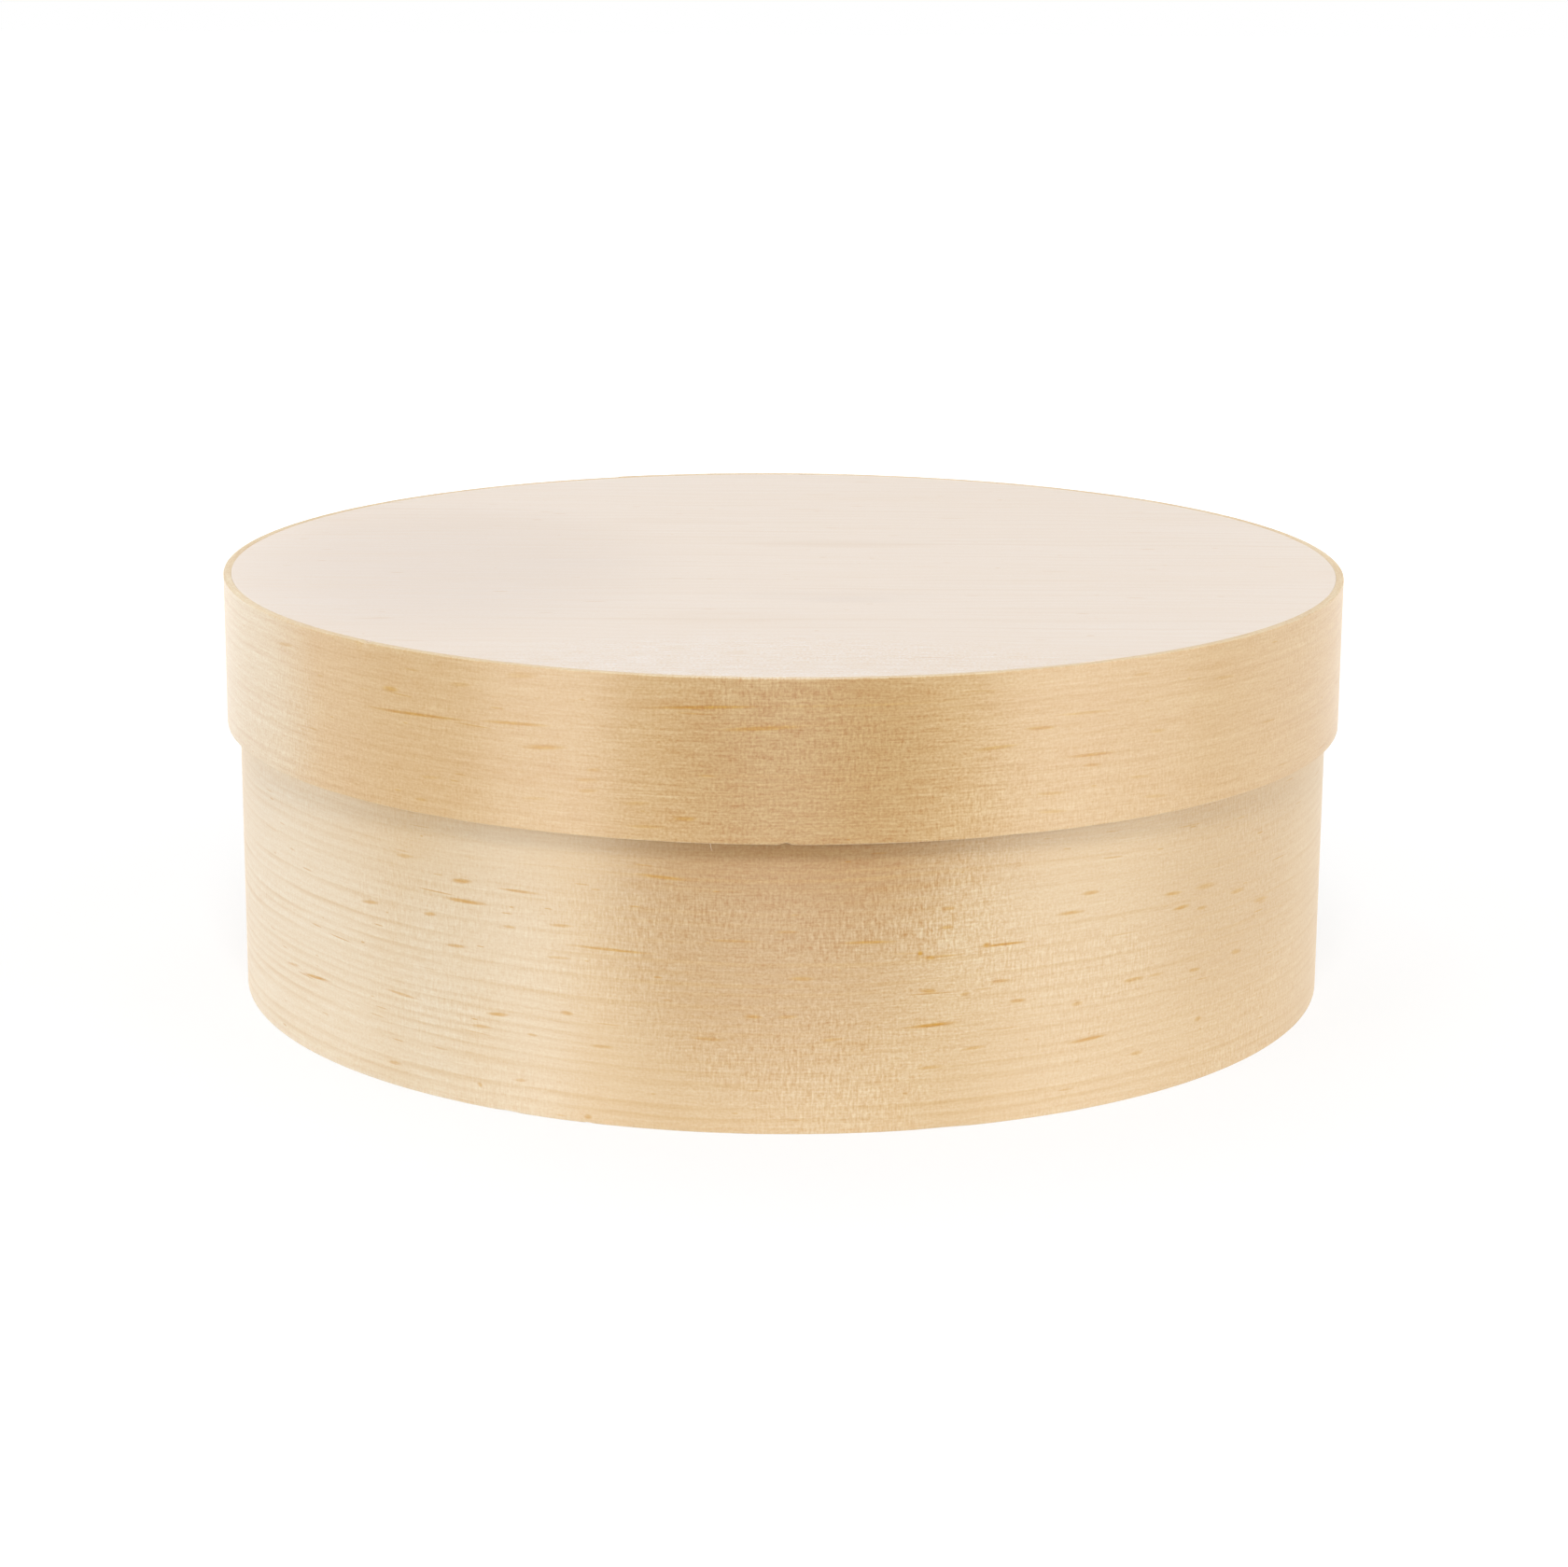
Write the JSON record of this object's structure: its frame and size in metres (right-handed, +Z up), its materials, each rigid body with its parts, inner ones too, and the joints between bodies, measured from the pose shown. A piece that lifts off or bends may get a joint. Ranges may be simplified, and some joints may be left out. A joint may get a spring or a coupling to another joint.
{
  "type": "cheese box",
  "caption": "Round bentwood veneer box with a flat base and a push-on lid whose band closes over the wall, for packing and keeping a cheese.",
  "frame": {"origin": "centre of the underside", "axes": "+Z up along the box's axis, -Y towards the front, +Y towards the lap joints at the back"},
  "size_m": [0.16, 0.1603, 0.06],
  "materials": {
    "disc_wood": "bare, finely sanded pale softwood with faint straight grain",
    "band_veneer": "bare sliced softwood veneer, fine grain along the band with short resin streaks",
    "wall_veneer": "bare sliced softwood veneer, clear growth rings along the wall with short resin streaks",
    "staple_wire": "zinc-coated flat wire"
  },
  "bodies": {
    "box_body": {"base_disc": "disc_wood", "body_wall": "wall_veneer", "body_staples": "staple_wire"},
    "lid": {"lid_disc": "disc_wood", "lid_band": "band_veneer", "lid_staples": "staple_wire"}
  },
  "joints": [
    {"name": "lid_lift", "type": "slide", "parent": "box_body", "child": "lid", "axis": [0, 0, 1], "range_m": [0, 0.1]}
  ]
}
